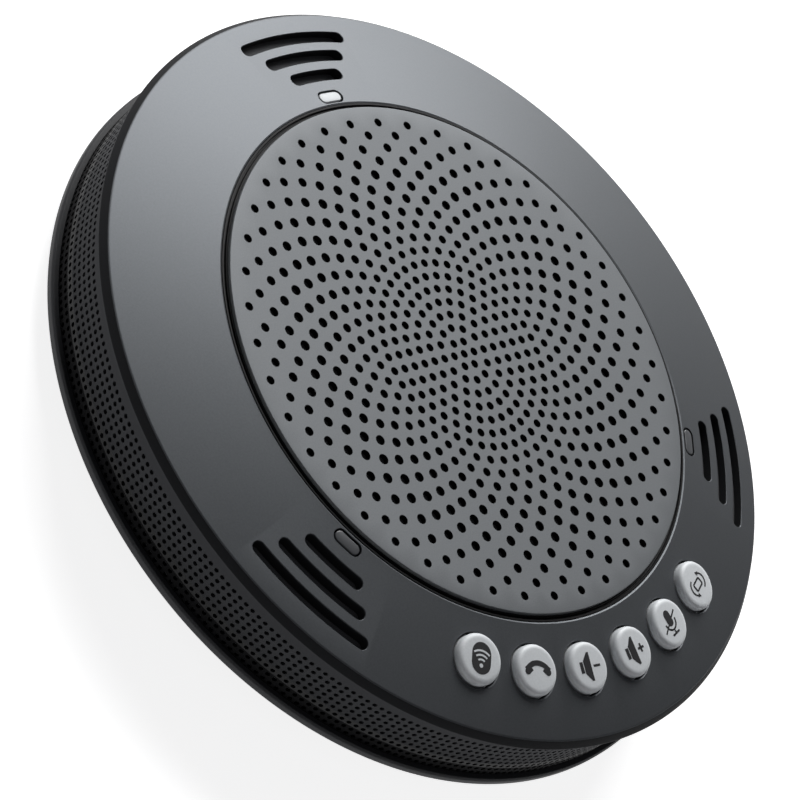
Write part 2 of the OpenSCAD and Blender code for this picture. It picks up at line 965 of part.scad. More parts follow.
module light_pipe_back() {
    light_pipe(mic_angles[0]);
}

module light_pipe_left() {
    light_pipe(mic_angles[1]);
}

module light_pipe_right() {
    light_pipe(mic_angles[2]);
}

module status_leds() {
    color("white")
    for (angle = mic_angles)
        rotate(angle)
        translate([window_r - led_size[0] / 2, -led_size[1] / 2, mic_board_z + mic_board_t])
        cube(led_size);
}

module mic_boards() {
    color([0.05, 0.3, 0.16])
    for (angle = mic_angles)
        rotate(angle)
        difference() {
            translate([mic_board_in, -mic_board_w / 2, mic_board_z])
            cube([mic_board_out - mic_board_in, mic_board_w, mic_board_t]);
            for (side = [-1, 1])
                translate([mic_boss_r, side * mic_boss_y, 0])
                post(small_screw_d + 0.3, mic_board_z - 1, mic_board_z + 2);
        }
}

module mic_capsules() {
    color("gold")
    for (angle = mic_angles)
        rotate(angle)
        translate([mic_r, 0, 0])
        difference() {
            post(capsule_d, mic_board_z + mic_board_t, mic_board_z + mic_board_t + capsule_h);
            post(0.8, mic_board_z + mic_board_t + capsule_h / 2, mic_board_z + mic_board_t + 3);
        }
}

module mic_boots() {
    color([0.05, 0.05, 0.05])
    for (angle = mic_angles)
        rotate(angle)
        difference() {
            intersection() {
                translate([mic_r, 0, 0])
                post(boot_d, mic_board_z + mic_board_t, overall_h);
                under_cover(mic_r - 7, mic_r + 7, cover_wall + slot_cloth_t + 0.02, cover_wall + 12);
            }
            translate([mic_r, 0, 0]) {
                post(capsule_d, mic_board_z, mic_board_z + mic_board_t + capsule_h);
                post(2, mic_board_z, overall_h);
            }
        }
}

module slot_cloths() {
    color([0.03, 0.03, 0.03])
    for (angle = mic_angles)
        difference() {
            under_cover(slot_r - 2.2, slot_r + 2 * slot_pitch + 1.7, cover_wall + 0.03, cover_wall + slot_cloth_t,
                27, angle - 13.5);
            rotate(angle)
            for (side = [-1, 1])
                translate([mic_boss_r, side * mic_boss_y, 0])
                post(mic_boss_d + 0.6, mic_board_z, overall_h);
        }
}

module mic_board_screws() {
    color("silver")
    for (angle = mic_angles, side = [-1, 1])
        rotate(angle)
        translate([mic_boss_r, side * mic_boss_y, 0])
        screw_up(small_screw_d, small_head_d, small_head_h, mic_board_z, mic_board_z + mic_board_t + 3.5);
}

// A lead from a front microphone board, round the pod and down to its socket
module mic_lead(from, to, plug) {
    z = mic_board_z - 1.4;
    r = pod_r + 1.2;
    d = 1;
    rotate(min(from, to))
    rotate_extrude(angle = abs(to - from))
        translate([r, z])
        circle(d = d, $fn = 24);
    rotate(from)
    wire([[r, 0, z], [mic_board_in + 1.5, 0, z], [mic_board_in + 1.5, 0, mic_board_z]], d);
    rotate(to)
    wire([[r, 0, z], [plug[1], 0, z], [plug[1], 0, board_z + board_t + socket_h]], d);
    for (angle = [from, to])
        rotate(angle)
        translate([r, 0, z])
        sphere(d = knuckle * d, $fn = 24);
}

module mic_leads() {
    color("dimgray") {
        mic_lead(mic_angles[1] - 6, mic_plugs[0][0], mic_plugs[0]);
        mic_lead(mic_angles[2] + 6, 360 + mic_plugs[1][0], mic_plugs[1]);
    }
}

top_cover();
grille();
grille_seat();
grille_cloth();
side_mesh();
side_cloth();
mid_frame();
base_shell();
foot_ring();
case_screws();
port_bezel();
usb_c_socket();
main_board();
board_chips();
board_screws();
battery_pack();
battery_pad();
battery_lead();
speaker_pod();
speaker_basket();
speaker_magnet();
speaker_top_plate();
speaker_yoke();
speaker_cone();
dust_cap();
voice_coil();
speaker_surround();
speaker_spider();
speaker_gasket();
speaker_screws();
speaker_leads();
lead_grommet();
button_wireless();
button_call();
button_volume_down();
button_volume_up();
button_mute();
button_rotate();
plunger_wireless();
plunger_call();
plunger_volume_down();
plunger_volume_up();
plunger_mute();
plunger_rotate();
tact_switches();
key_flex();
key_carrier();
key_screws();
key_ribbon();
light_pipe_back();
light_pipe_left();
light_pipe_right();
status_leds();
mic_boards();
mic_capsules();
mic_boots();
slot_cloths();
mic_board_screws();
mic_leads();
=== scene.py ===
# Conference speakerphone: fine shapes, finishes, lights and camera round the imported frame.
# Sizes are in millimetres and become metres where a mesh is made. Heights are above the table.
import math

import bmesh
import bpy
from mathutils import Matrix, Vector


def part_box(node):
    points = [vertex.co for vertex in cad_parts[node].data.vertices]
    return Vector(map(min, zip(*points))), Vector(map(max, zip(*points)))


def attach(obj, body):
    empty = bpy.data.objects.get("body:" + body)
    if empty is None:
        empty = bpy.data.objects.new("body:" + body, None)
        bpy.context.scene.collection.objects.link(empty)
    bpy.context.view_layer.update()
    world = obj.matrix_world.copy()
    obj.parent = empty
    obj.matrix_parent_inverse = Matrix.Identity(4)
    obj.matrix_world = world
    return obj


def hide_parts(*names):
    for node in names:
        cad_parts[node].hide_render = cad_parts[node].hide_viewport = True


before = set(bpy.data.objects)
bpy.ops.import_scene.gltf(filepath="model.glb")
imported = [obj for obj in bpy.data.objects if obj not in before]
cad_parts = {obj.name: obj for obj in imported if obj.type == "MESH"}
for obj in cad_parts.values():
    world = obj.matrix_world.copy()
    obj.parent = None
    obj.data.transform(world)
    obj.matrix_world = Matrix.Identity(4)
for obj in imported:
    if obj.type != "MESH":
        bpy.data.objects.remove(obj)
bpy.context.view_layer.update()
MM = 0.001


def low(node):
    """The lowest corner of a node, in millimetres."""
    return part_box(node)[0] / MM


def high(node):
    """The highest corner of a node, in millimetres."""
    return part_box(node)[1] / MM


# Sizes read from the frame
rim_r = high("top_cover").x
disc_r = high("grille").x
disc_z = high("grille").z
disc_low = low("grille").z
band_r = high("side_mesh").x
band_low = low("side_mesh").z
band_high = high("side_mesh").z
lip_r = high("base_shell").x
base_z = low("base_shell").z
foot_r = high("foot_ring").x
foot_high = high("foot_ring").z
screw_r = high("case_screws").x - 2.7

# Sizes of the design that the frame's boxes don't give
slope = math.radians(10.1)
opening_r = disc_r + 1.35
opening_z = disc_z - 0.76
crease_r = rim_r - 1.1
rim_drop = 1.55
cover_wall = 2.2
cut_depth = 4.0
frame_in = band_r - 3.25
window_r = opening_r + 2.05
window_half = math.asin(1.75 / window_r)
window_w = 2.25
slot_r = window_r + 5.3
slot_step = 4.75
slot_w = 2.6
slot_halves = [5.75, 9.35, 12.95]
key_r = opening_r + 9.4
key_d = 10
key_proud = 1.5
key_gap = 0.38
band_wall = 0.65
row_pitch = 1.606
print_h = 0.05
screw_head_r = 2.9
screw_hole_r = 1.6
screw_post_r = 4.25
port_low = 8.3
port_high = 14.9
port_w = 22
socket_w = 8.94
socket_h = 3.26
socket_z = 10 + socket_h / 2
screw_angles = [0, 62, 118, 180, 228.5, 311.5]
mic_angles = [90, 210, 330]
key_angles = [270 + (i - 2.5) * 11.8 for i in range(6)]
key_names = ["wireless", "call", "volume_down", "volume_up", "mute", "rotate"]


def cover_z(r):
    """Height of the sloping cover at a radius."""
    return opening_z - math.tan(slope) * (r - opening_r)


rim_z = cover_z(crease_r) - rim_drop


# ---------------------------------------------------------------- finishes
class Value:
    """A shader socket that sums can be written with; each operator adds its Math node."""

    def __init__(self, finish, socket):
        self.finish = finish
        self.socket = socket

    def maths(self, operation, *values, clamp=False):
        settings = {"operation": operation, "use_clamp": clamp}
        return self.finish.node("ShaderNodeMath", settings, dict(enumerate(values)))

    def __add__(self, other):
        return self.maths("ADD", self, other)

    __radd__ = __add__

    def __sub__(self, other):
        return self.maths("SUBTRACT", self, other)

    def __rsub__(self, other):
        return self.maths("SUBTRACT", other, self)

    def __mul__(self, other):
        return self.maths("MULTIPLY", self, other)

    __rmul__ = __mul__

    def __truediv__(self, other):
        return self.maths("DIVIDE", self, other)

    def __rtruediv__(self, other):
        return self.maths("DIVIDE", other, self)

    def wave(self):
        return self.maths("SINE", self)

    def size(self):
        return self.maths("ABSOLUTE", self)

    def step(self, start, end):
        """0 below start, 1 above end, straight between."""
        return self.maths("ADD", (self - start) / (end - start), 0, clamp=True)


class Finish:
    """One material or the world, with a single method that adds any node."""

    def __init__(self, name, block=None):
        self.block = block or bpy.data.materials.new(name)
        self.block.use_nodes = True
        self.tree = self.block.node_tree
        self.tree.nodes.clear()

    def node(self, kind, settings=None, inputs=None, out=0):
        made = self.tree.nodes.new(kind)
        for key, setting in (settings or {}).items():
            setattr(made, key, setting)
        for key, value in (inputs or {}).items():
            if isinstance(value, Value):
                self.tree.links.new(value.socket, made.inputs[key])
            else:
                made.inputs[key].default_value = value
        return Value(self, made.outputs[out])

    def place(self, scale=None):
        """Object coordinates, perhaps scaled."""
        spot = self.node("ShaderNodeTexCoord", out="Object")
        if scale is None:
            return spot
        return self.node("ShaderNodeMapping", None, {"Vector": spot, "Scale": scale})

    def axis(self, name, vector=None):
        """One coordinate of a place, in metres."""
        return self.node("ShaderNodeSeparateXYZ", None, {0: vector or self.place()}, name)

    def noise(self, scale, detail=2.0, rough=0.5, vector=None):
        inputs = {"Vector": vector or self.place(), "Scale": scale, "Detail": detail, "Roughness": rough}
        return self.node("ShaderNodeTexNoise", None, inputs)

    def cells(self, scale, feature="F1"):
        inputs = {"Vector": self.place(), "Scale": scale}
        return self.node("ShaderNodeTexVoronoi", {"feature": feature}, inputs, "Distance")

    def blend(self, amount, first, second):
        """Colour first turning to colour second as amount goes from 0 to 1."""
        colours = [c if isinstance(c, Value) else (*c, 1) for c in (first, second)]
        return self.node("ShaderNodeMix", {"data_type": "RGBA"}, {0: amount, 6: colours[0], 7: colours[1]}, 2)

    def bump(self, height, depth, strength):
        return self.node("ShaderNodeBump", None, {"Height": height, "Distance": depth, "Strength": strength})

    def output(self, kind, shader):
        self.tree.links.new(shader.socket, self.tree.nodes.new(kind).inputs[0])

    def surface(self, **inputs):
        """The Principled shader, wired to the output."""
        named = {key.replace("_", " "): value for key, value in inputs.items()}
        named = {key: (*v, 1) if isinstance(v, tuple) and len(v) == 3 else v for key, v in named.items()}
        self.output("ShaderNodeOutputMaterial", self.node("ShaderNodeBsdfPrincipled", None, named))
        return self.block


def times(colour, factor):
    """A colour made lighter or darker."""
    return tuple(min(c * factor, 1) for c in colour)


def enamel(name, colour, metal, rough, grain=2600.0, grain_depth=0.00001, drift=0.1, spec=0.5):
    """Satin paint: slow drift of tone, fine speck, slightly uneven gloss and a skin of tiny grain."""
    f = Finish(name)
    slow = f.noise(14.0, 3.0)
    speck = f.noise(grain, 1.0)
    tone = f.blend(slow, times(colour, 1 - drift), times(colour, 1 + drift))
    tone = f.blend((speck - 0.5) * 0.5 + 0.15, tone, times(colour, 1.5))
    gloss = rough + (slow - 0.5) * 0.06 + (speck - 0.5) * 0.05
    skin = f.bump(speck, grain_depth, 0.5)
    return f.surface(Base_Color=tone, Metallic=metal, Roughness=gloss, Normal=skin, Specular_IOR_Level=spec)


def moulded(name, colour, rough=0.55, grain=1500.0, grain_depth=0.00003, spec=0.5, wear=0.12):
    """Moulded plastic: spark-eroded grain, faint flow marks and rubbed patches."""
    f = Finish(name)
    pits = f.cells(grain)
    slow = f.noise(30.0, 3.0)
    tone = f.blend(slow, times(colour, 1 - wear), times(colour, 1 + wear))
    tone = f.blend(pits * 0.25, tone, times(colour, 0.7))
    gloss = rough + (slow - 0.5) * 0.12
    skin = f.bump(pits, grain_depth, 0.5)
    return f.surface(Base_Color=tone, Roughness=gloss, Normal=skin, Specular_IOR_Level=spec)


def rubber(name, colour, rough=0.75):
    """Rubber: dusty bloom over a dull dark body, with a soft grain."""
    f = Finish(name)
    bloom = f.noise(60.0, 4.0, 0.6).step(0.4, 0.8)
    grain = f.noise(1800.0, 2.0)
    tone = f.blend(bloom * 0.5, colour, times(colour, 2.2))
    return f.surface(Base_Color=tone, Roughness=rough + bloom * 0.12, Normal=f.bump(grain, 0.00003, 0.6))


def woven(name, colour, pitch):
    """Woven cloth: two crossing sets of threads, each over and under, with uneven dye, a painted highlight on
    the thread crests and painted shade between the threads.
    """
    f = Finish(name)
    turns = math.pi / (pitch * MM)
    across = (f.axis("X") * turns).wave().size()
    along = (f.axis("Y") * turns).wave().size()
    threads = across.maths("MAXIMUM", across, along)
    dye = f.noise(120.0, 2.0)
    # Painted highlight on the thread crests and painted shade in the hollows between threads, mixed with the
    # dye's random tone.
    tone = f.blend(threads * 0.8 + dye * 0.2, times(colour, 0.35), times(colour, 1.4))
    return f.surface(Base_Color=tone, Roughness=0.9, Normal=f.bump(threads, 0.00006, 0.8))


def steel(name, colour, rough=0.3, scratch=(900, 900, 60)):
    """Bare or plated metal: drawn scratches and dull stains."""
    f = Finish(name)
    drawn = f.noise(1.0, 2.0, 0.6, f.place(scratch))
    stain = f.noise(70.0, 4.0, 0.6)
    tone = f.blend(stain, times(colour, 0.75), times(colour, 1.1))
    gloss = rough + (stain - 0.5) * 0.2 + (drawn - 0.5) * 0.15
    return f.surface(Base_Color=tone, Metallic=1.0, Roughness=gloss, Normal=f.bump(drawn, 0.000008, 0.5))


def film(name, colour, rough, lines=0.0, line_tone=1.0):
    """Glossy film or board: traces or print seen under the lacquer."""
    f = Finish(name)
    stain = f.noise(40.0, 3.0)
    tone = f.blend(stain, times(colour, 0.8), times(colour, 1.15))
    if lines:
        runs = f.cells(lines, "DISTANCE_TO_EDGE").step(0.04, 0.07)
        tone = f.blend(1 - runs, tone, times(colour, line_tone))
    return f.surface(Base_Color=tone, Roughness=rough + stain * 0.15, Coat_Weight=0.4, Coat_Roughness=0.15)


def open_foam(name, colour):
    """Open foam: cells whose mouths are painted dark as shade in the pores."""
    f = Finish(name)
    pores = f.cells(1400.0)
    tone = f.blend(pores.step(0.2, 0.7), times(colour, 0.3), times(colour, 1.4))
    return f.surface(Base_Color=tone, Roughness=0.95, Normal=f.bump(pores, 0.0002, 0.7))


def paper(name, colour):
    """Pressed pulp: long fibres and a matt face."""
    f = Finish(name)
    fibre = f.noise(700.0, 5.0, 0.7)
    tone = f.blend(fibre, times(colour, 0.6), times(colour, 1.6))
    return f.surface(Base_Color=tone, Roughness=0.88, Normal=f.bump(fibre, 0.00006, 0.6))


def lens(name, colour, glow, coat=0.3):
    """Frosted light pipe: cloudy body with its own light."""
    f = Finish(name)
    cloud = f.noise(500.0, 2.0)
    tone = f.blend(cloud, times(colour, 0.9), times(colour, 1.06))
    return f.surface(
        Base_Color=tone, Roughness=0.3 + cloud * 0.1, Emission_Color=tone, Emission_Strength=glow,
        Normal=f.bump(cloud, 0.00001, 0.4), Coat_Weight=coat, Coat_Roughness=0.1,
    )


def band_finish():
    """Punched side band: grey enamel, darker towards the lip as painted shade above the lip."""
    f = Finish("band_enamel")
    # Painted shade: the tone darkens below 16 mm and is darkest under 10 mm, just above the lip.
    painted_lip_shade = (f.axis("Z") / MM).step(10.0, 16.0)
    speck = f.noise(2200.0, 1.0)
    slow = f.noise(20.0, 3.0)
    tone = f.blend(painted_lip_shade, (0.021, 0.0215, 0.023), (0.037, 0.038, 0.041))
    tone = f.blend(slow * 0.2, tone, (0.045, 0.046, 0.05))
    return f.surface(
        Base_Color=tone, Metallic=0.0, Roughness=0.6 + speck * 0.08, Specular_IOR_Level=0.05,
        Normal=f.bump(speck, 0.00001, 0.5),
    )


finishes = {
    "cover_paint": enamel("cover_enamel", (0.091, 0.097, 0.104), 0.75, 0.5),
    "grille_paint": enamel("grille_enamel", (0.146, 0.155, 0.163), 0.5, 0.57, 3200.0, 0.00002),
    "band_paint": band_finish(),
    "black_plastic": moulded("black_plastic", (0.008, 0.008, 0.0085), 0.58, spec=0.18),
    "black_cloth": woven("black_cloth", (0.085, 0.087, 0.092), 0.35),
    "base_plastic": moulded("base_plastic", (0.036, 0.037, 0.04), 0.55, 1900.0, spec=0.22),
    "foot_rubber": rubber("foot_rubber", (0.018, 0.018, 0.018)),
    "screw_steel": steel("screw_steel", (0.5, 0.5, 0.5)),
    "socket_steel": steel("socket_steel", (0.62, 0.62, 0.62), 0.25),
    "board_green": film("board_green", (0.015, 0.12, 0.055), 0.35, 260.0, 2.2),
    "chip_black": moulded("chip_black", (0.025, 0.025, 0.027), 0.6, 2500.0),
    "battery_wrap": film("battery_wrap", (0.04, 0.15, 0.32), 0.25),
    "foam": open_foam("foam", (0.06, 0.06, 0.065)),
    "wire_red": film("wire_red", (0.4, 0.02, 0.015), 0.35),
    "wire_grey": film("wire_grey", (0.12, 0.12, 0.125), 0.35),
    "basket_paint": enamel("basket_enamel", (0.045, 0.045, 0.05), 0.3, 0.45),
    "ferrite": moulded("ferrite", (0.045, 0.045, 0.048), 0.6, 900.0, 0.00008),
    "plated_steel": steel("plated_steel", (0.58, 0.57, 0.52), 0.28, (60, 60, 900)),
    "cone_paper": paper("cone_paper", (0.022, 0.022, 0.024)),
    "copper_wire": steel("copper_wire", (0.62, 0.26, 0.12), 0.3, (60, 60, 5000)),
    "surround_rubber": rubber("surround_rubber", (0.016, 0.016, 0.017), 0.6),
    "spider_cloth": woven("spider_cloth", (0.5, 0.36, 0.12), 0.6),
    "flex_film": film("flex_film", (0.42, 0.17, 0.03), 0.3, 320.0, 1.9),
    "light_pipe_lit": lens("light_pipe_lit", (0.42, 0.445, 0.46), 0.12, 0.0),
    "light_pipe_off": lens("light_pipe_off", (0.09, 0.094, 0.1), 0.0),
    "led_white": lens("led_white", (0.85, 0.85, 0.8), 0.2),
    "gold_can": steel("gold_can", (0.75, 0.58, 0.26), 0.3),
    "key_plastic": moulded("key_plastic", (0.78, 0.81, 0.83), 0.42, 2400.0, 0.00001, wear=0.04),
    "plunger_plastic": moulded("plunger_plastic", (0.7, 0.67, 0.58), 0.5),
}
key_print = moulded("key_print", (0.016, 0.016, 0.018), 0.5, 2400.0, 0.00001)
# Painted shade for the band's lowest rows above the lip: the first material is near black for two rows, the
# second a lighter shade for the third.
band_painted_shadow = moulded("band_painted_shadow", (0.003, 0.003, 0.0035), 0.7, 2400.0, 0.00001, spec=0.06)
band_painted_half_shadow = moulded("band_painted_half_shadow", (0.009, 0.0092, 0.01), 0.55, 2400.0, 0.00001, spec=0.2)
# A darker, duller copy of the cover paint for the rim's bevel: painted shade.
rim_shade_paint = enamel("rim_shade_enamel", (0.017, 0.0175, 0.019), 0.0, 0.6, spec=0.06)
cut_wall = moulded("cut_wall", (0.022, 0.023, 0.025), 0.5, 2400.0, 0.00001, spec=0.3)
hole_shade = moulded("hole_shade", (0.006, 0.006, 0.0065), 0.7, 2400.0, 0.00001, spec=0.2)

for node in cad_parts.values():
    for place in node.material_slots:
        place.material = finishes[place.material.name.split(".")[0]]


# ---------------------------------------------------------------- making shapes
def metres(*place):
    """A place in millimetres as a vector in metres."""
    return Vector(place) * MM


def absorb(bm, other, matrix=None):
    """Adds a finished shape to another and frees it."""
    work = bpy.data.meshes.new("work")
    other.to_mesh(work)
    other.free()
    if matrix:
        work.transform(matrix)
    bm.from_mesh(work)
    bpy.data.meshes.remove(work)


def clean(bm):
    """Merges doubled points and points every face outwards."""
    bmesh.ops.remove_doubles(bm, verts=bm.verts[:], dist=1e-7)
    bmesh.ops.recalc_face_normals(bm, faces=bm.faces[:])
    return bm


def swing(bm, angle):
    """Turns a whole shape about the upright axis."""
    bmesh.ops.rotate(bm, verts=bm.verts[:], cent=(0, 0, 0), matrix=Matrix.Rotation(angle, 3, "Z"))


def new_verts(result):
    """The points among what an operator made."""
    return [g for g in result if isinstance(g, bmesh.types.BMVert)]


def flat_edges(bm, z):
    """The edges that lie at one height, in metres."""
    return [e for e in bm.edges if all(abs(v.co.z - z) < 1e-8 for v in e.verts)]


def turned(points, steps=360, angle=360.0, start=0.0):
    """A turned shape. Each point is radius, height and perhaps the round of its corner."""
    bm = bmesh.new()
    verts = [bm.verts.new(metres(p[0], 0, p[1])) for p in points]
    bm.faces.new(verts)
    for vert, point in zip(verts, points):
        if len(point) > 2:
            bmesh.ops.bevel(
                bm, geom=[vert], offset=point[2] * MM, offset_type="OFFSET", affect="VERTICES",
                segments=4, profile=0.5, material=-1,
            )
    whole = angle >= 360
    if whole:
        bmesh.ops.delete(bm, geom=bm.faces[:], context="FACES_ONLY")
        on_axis = [e for e in bm.edges if all(v.co.x < 1e-9 for v in e.verts)]
        bmesh.ops.delete(bm, geom=on_axis, context="EDGES")
    swing(bm, math.radians(start))
    bmesh.ops.spin(
        bm, geom=bm.verts[:] + bm.edges[:] + bm.faces[:], cent=(0, 0, 0), axis=(0, 0, 1),
        angle=math.radians(angle), steps=steps, use_merge=whole,
    )
    return clean(bm)


def on_key(angle, proud=0.0):
    """The frame of a key: X along the arc, Y towards the centre, Z out of the cover."""
    turn = Matrix.Rotation(math.radians(angle + 90), 4, "Z")
    lean = Matrix.Rotation(slope, 4, "X")
    spot = Matrix.Translation(metres(0, -key_r, cover_z(key_r)))
    return turn @ spot @ lean @ Matrix.Translation(metres(0, 0, proud))


def block(bm, centre, size, turn=0.0):
    """A box about its centre, perhaps turned in degrees about the upright axis."""
    place = Matrix.Translation(metres(*centre)) @ Matrix.Rotation(math.radians(turn), 4, "Z")
    bmesh.ops.create_cube(bm, size=1, matrix=place @ Matrix.Diagonal((*metres(*size), 1)))


def made(bm, name, body, materials, slot, stands_for=(), sharp=32):
    """Turns a shape into a named piece that rides on a body."""
    mesh = bpy.data.meshes.new(name)
    bm.to_mesh(mesh)
    bm.free()
    piece = bpy.data.objects.new(name, mesh)
    bpy.context.scene.collection.objects.link(piece)
    for material in materials:
        mesh.materials.append(material)
    smooth(mesh, sharp)
    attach(piece, body)
    if stands_for:
        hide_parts(*stands_for)
    return piece


def smooth(mesh, sharp):
    """Smooth shading, broken at edges sharper than an angle in degrees."""
    mesh.polygons.foreach_set("use_smooth", [True] * len(mesh.polygons))
    mesh.set_sharp_from_angle(angle=math.radians(sharp))


def carve(piece, cutter, sharp=32, operation="DIFFERENCE"):
    """Cuts the closed shape cutter out of a piece, or with "UNION" adds it."""
    mesh = bpy.data.meshes.new("cutter")
    cutter.to_mesh(mesh)
    cutter.free()
    tool = bpy.data.objects.new("cutter", mesh)
    bpy.context.scene.collection.objects.link(tool)
    cut = piece.modifiers.new("cut", "BOOLEAN")
    cut.operation = operation
    cut.solver = "EXACT"
    cut.object = tool
    before = piece.data
    graph = bpy.context.evaluated_depsgraph_get()
    result = bpy.data.meshes.new_from_object(piece.evaluated_get(graph))
    piece.modifiers.clear()
    piece.data = result
    result.name = before.name
    bpy.data.meshes.remove(before)
    bpy.data.objects.remove(tool)
    bpy.data.meshes.remove(mesh)
    smooth(result, sharp)


def arc_outline(bm, r, half, w, height):
    """The outline of an arc slot with round ends, swept from one point."""
    start = bm.verts.new(metres(r - w / 2, 0, height))
    swing(bm, -half)
    tip = start
    ends = [Matrix.Rotation(side * half, 3, "Z") @ metres(r, 0, height) for side in (1, -1)]
    for centre, angle, steps in [
        (Vector((0, 0, 0)), 2 * half, 40), (ends[0], -math.pi, 14),
        (Vector((0, 0, 0)), -2 * half, 40), (ends[1], -math.pi, 14),
    ]:
        swept = bmesh.ops.spin(bm, geom=[tip], cent=centre, axis=(0, 0, 1), angle=angle, steps=steps)
        tip = new_verts(swept["geom_last"])[0]
    bmesh.ops.weld_verts(bm, targetmap={tip: start})


def lofted(outlines):
    """A closed solid through outlines of equal point counts, each made by its own function."""
    bm = bmesh.new()
    last = None
    for draw in outlines:
        part = bmesh.new()
        draw(part)
        before = set(bm.edges)
        absorb(bm, part)
        loop = [e for e in bm.edges if e not in before]
        if last:
            bmesh.ops.bridge_loops(bm, edges=last + loop)
            loop = [e for e in loop if e.is_valid]
        last = loop
    bmesh.ops.holes_fill(bm, edges=[e for e in bm.edges if e.is_boundary])
    return clean(bm)


def arc_solid(angle, r, half, levels):
    """A solid on an arc of the cover: widths and their heights above the slope."""
    bm = lofted([
        lambda part, w=width, z=z: arc_outline(part, r, half, w, z) for width, z in levels
    ])
    for vert in bm.verts:
        vert.co.z += cover_z(math.hypot(vert.co.x, vert.co.y) / MM) * MM
    swing(bm, math.radians(angle))
    return bm


def arc_cutter(angle, r, half, w, chamfer):
    """Cuts an arc slot down through the sloping cover, with a chamfer that follows the slope."""
    mouth = w + 4 * chamfer
    return arc_solid(angle, r, half, ((w, -cut_depth), (w, -chamfer), (mouth, chamfer), (mouth, 1.5)))


def disc_cutter(matrix, radius, chamfer, depth):
    """Cuts a round hole along a key's axis, with a softened mouth."""
    def circle(part, r, z):
        spot = Matrix.Translation(metres(0, 0, z))
        bmesh.ops.create_circle(part, segments=72, radius=r * MM, matrix=spot)

    bm = lofted([
        lambda part, r=r, z=z: circle(part, r, z)
        for r, z in (
            (radius, -depth), (radius, -chamfer), (radius + chamfer * 0.22, -chamfer * 0.45),
            (radius + chamfer, 0), (radius + chamfer * 3, chamfer * 1.15), (radius + chamfer * 3, 1.5),
        )
    ])
    bmesh.ops.transform(bm, matrix=matrix, verts=bm.verts[:])
    return bm


# ---------------------------------------------------------------- top cover
def cover():
    """The sloping cover with its slots, window seats and key holes."""
    edge = cover_z(opening_r)
    bm = turned([
        (opening_r, edge - cover_wall), (opening_r, edge - 0.16), (opening_r + 0.32, cover_z(opening_r + 0.32)),
        (crease_r, cover_z(crease_r), 0.3), (rim_r, rim_z, 0.08), (rim_r, rim_z - 0.3, 0.05),
        (band_r + 0.25, rim_z - 1.1), (frame_in + 0.2, rim_z - 1.1),
        (frame_in + 0.2, cover_z(frame_in + 0.2) - cover_wall),
    ])
    piece = made(bm, "cover_shell", "case", [finishes["cover_paint"]], "cover_paint", ["top_cover"], 14)
    cuts = bmesh.new()
    for angle in mic_angles:
        for i, half in enumerate(slot_halves):
            r = slot_r + i * slot_step
            absorb(cuts, arc_cutter(angle, r, math.asin(half / r), slot_w, 0.12))
        absorb(cuts, arc_cutter(angle, window_r, window_half, window_w + 0.75, 0.06))
    for angle in key_angles:
        absorb(cuts, disc_cutter(on_key(angle), key_d / 2 + key_gap, 0.28, 5.0))
    carve(piece, cuts, 14)
    # Past the crease the rim takes a darker, duller copy of the cover paint, and the rim's underside the band's
    # paint: painted shade on the rim.
    for material in (cut_wall, finishes["band_paint"], rim_shade_paint):
        piece.data.materials.append(material)
    for face in piece.data.polygons:
        reach = face.center.to_2d().length / MM
        if opening_r + 0.5 < reach < crease_r - 1.5 and abs(face.normal.z) < 0.35:
            face.material_index = 1
        elif reach > band_r and face.center.z < (rim_z - 0.04) * MM:
            face.material_index = 2
        elif reach > crease_r + 0.03:
            face.material_index = 3


# ---------------------------------------------------------------- grille
def circle_walls(centre, sides, first, levels):
    """A circle drawn down into walls. Each level is a radius and a height."""
    bm = bmesh.new()
    bmesh.ops.create_circle(bm, segments=sides, radius=first * MM, matrix=Matrix.Translation(centre))
    for radius, z in levels:
        loop = [e for e in bm.edges if e.is_wire or e.is_boundary][-sides:]
        for vert in new_verts(bmesh.ops.extrude_edge_only(bm, edges=loop)["geom"]):
            out = (vert.co - centre).to_2d().normalized() * radius * MM
            vert.co = Vector((centre.x + out.x, centre.y + out.y, z * MM))
    return bm


def grille_disc():
    """The pierced disc: rings of holes round a centre hole, with softened mouths."""
    rings, most, mouth = 18, 42, 0.06
    pitch = (disc_r - 3.62) / rings
    bm = bmesh.new()
    for ring in range(rings + 1):
        count = min(6 * ring, most) or 1
        hole = (1.65 + 0.47 * max(0, 1 - abs(ring - 13.5) / 5.5)) / 2
        centre = metres(ring * pitch, 0, disc_z)
        tube = circle_walls(centre, 20, hole + mouth, ((hole, disc_z - mouth), (hole, disc_low)))
        for face in tube.faces:
            face.material_index = 1
        swing(tube, math.radians(4 if ring >= 8 and ring % 2 == 0 else 0))
        if count > 1:
            bmesh.ops.spin(
                tube, geom=tube.verts[:] + tube.edges[:] + tube.faces[:], cent=(0, 0, 0), axis=(0, 0, 1),
                angle=math.tau * (count - 1) / count, steps=count - 1, use_duplicate=True,
            )
        absorb(bm, tube)
    absorb(bm, circle_walls(metres(0, 0, disc_z), 240, disc_r - 0.3, (
        (disc_r - 0.12, disc_z - 0.03), (disc_r - 0.03, disc_z - 0.12),
        (disc_r, disc_z - 0.3), (disc_r, disc_low),
    )))
    for z, way in ((disc_z, 1), (disc_low, -1)):
        level = [e for e in flat_edges(bm, z * MM) if e.is_boundary]
        bmesh.ops.triangle_fill(bm, edges=level, use_beauty=True, use_dissolve=False, normal=(0, 0, way))
    paints = [finishes["grille_paint"], hole_shade]
    made(clean(bm), "grille_disc", "case", paints, "grille_paint", ["grille"], 20)


